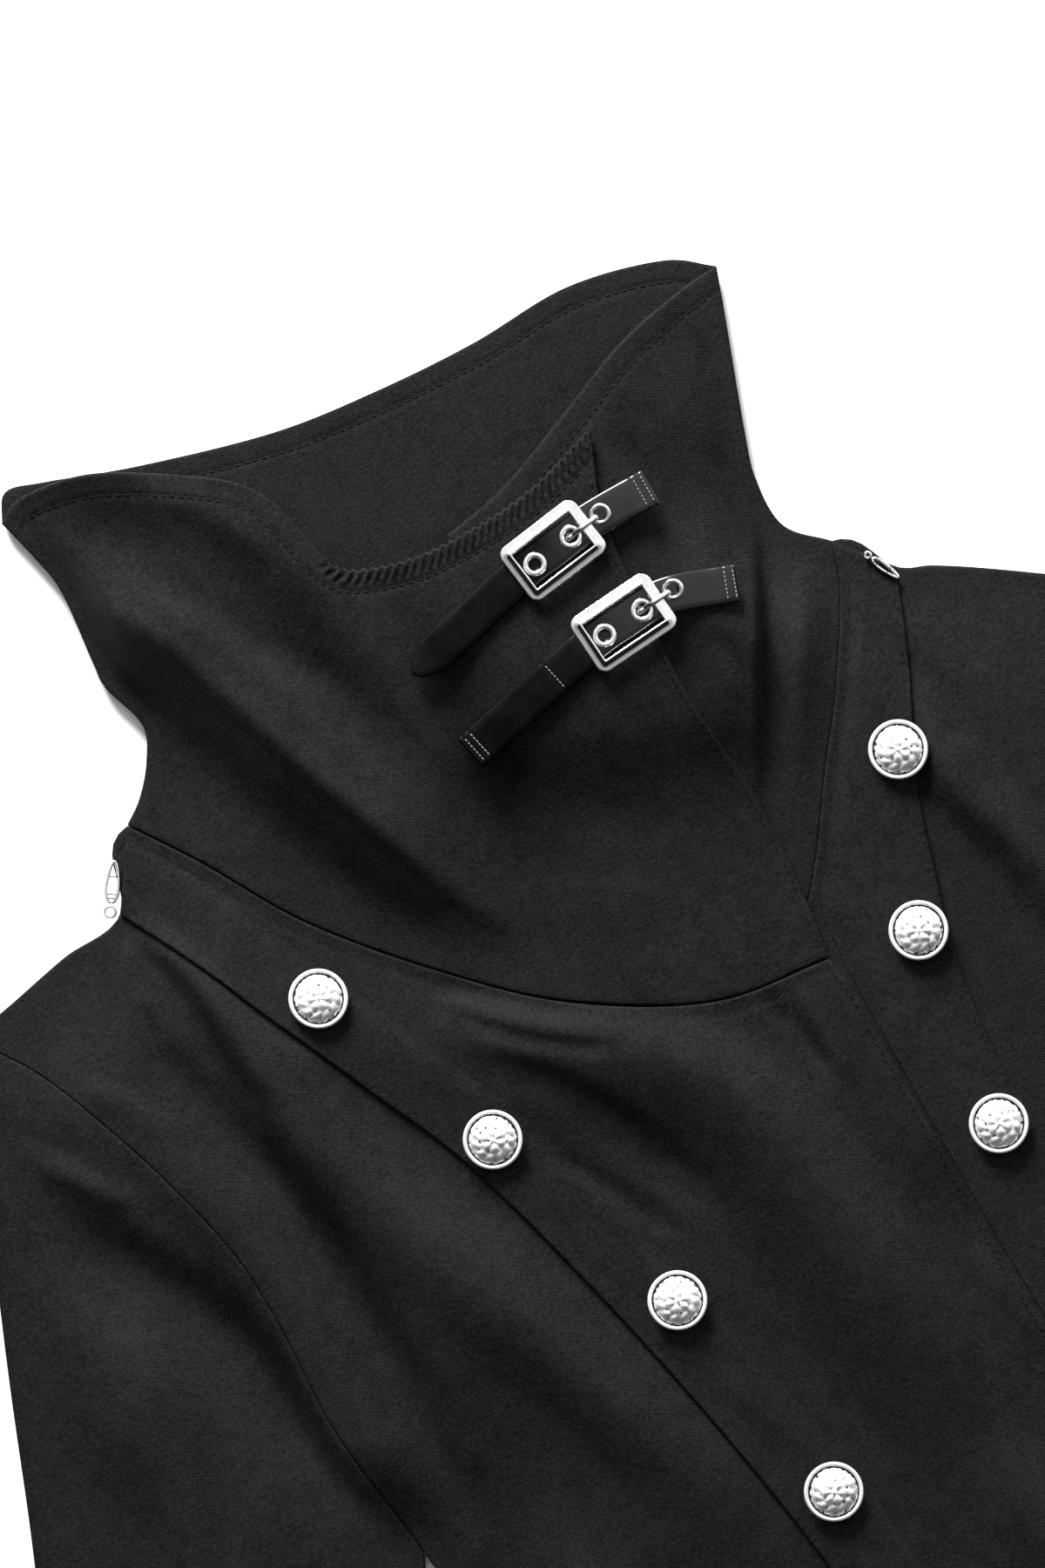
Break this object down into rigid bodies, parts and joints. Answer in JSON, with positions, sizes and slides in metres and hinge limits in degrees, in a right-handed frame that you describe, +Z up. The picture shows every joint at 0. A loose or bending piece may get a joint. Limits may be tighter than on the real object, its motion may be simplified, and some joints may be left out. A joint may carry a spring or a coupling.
{
  "type": "cropped jacket",
  "caption": "Double-breasted cropped jacket laid flat, with a tall funnel collar lapped and held by small buckled straps, button strips from shoulder to hem and long plain sleeves.",
  "frame": {"origin": "underside of the back panel on the centre line, level with the second pair of buttons", "axes": "+Z up off the surface the jacket lies on, +Y towards the collar, +X towards the wearer's left"},
  "size_m": [0.806, 0.7544, 0.03],
  "materials": {
    "cloth": "matte charcoal black twill, slightly napped",
    "leather": "smooth black strap leather with a soft shine",
    "silver": "polished nickel-plated metal, relief darkened in its hollows"
  },
  "bodies": {
    "root": {"back": "cloth", "front_right": "cloth", "front_left": "cloth", "button_strip_right": "cloth", "button_strip_left": "cloth", "collar_back": "cloth", "collar_right": "cloth", "collar_left": "cloth", "sleeve_right": "cloth", "sleeve_left": "cloth", "button_right_1": "silver", "button_right_2": "silver", "button_right_3": "silver", "button_right_4": "silver", "button_right_5": "silver", "button_left_1": "silver", "button_left_2": "silver", "button_left_3": "silver", "button_left_4": "silver", "button_left_5": "silver", "strap_upper": "leather", "strap_lower": "leather", "buckle_upper": "silver", "buckle_lower": "silver", "eyelet_upper_1": "silver", "eyelet_upper_2": "silver", "eyelet_lower_1": "silver", "eyelet_lower_2": "silver", "prong_ring_upper": "silver", "prong_ring_lower": "silver", "prong_upper": "silver", "prong_lower": "silver", "hook_right_loop": "silver", "hook_left_loop": "silver"}
  },
  "joints": []
}
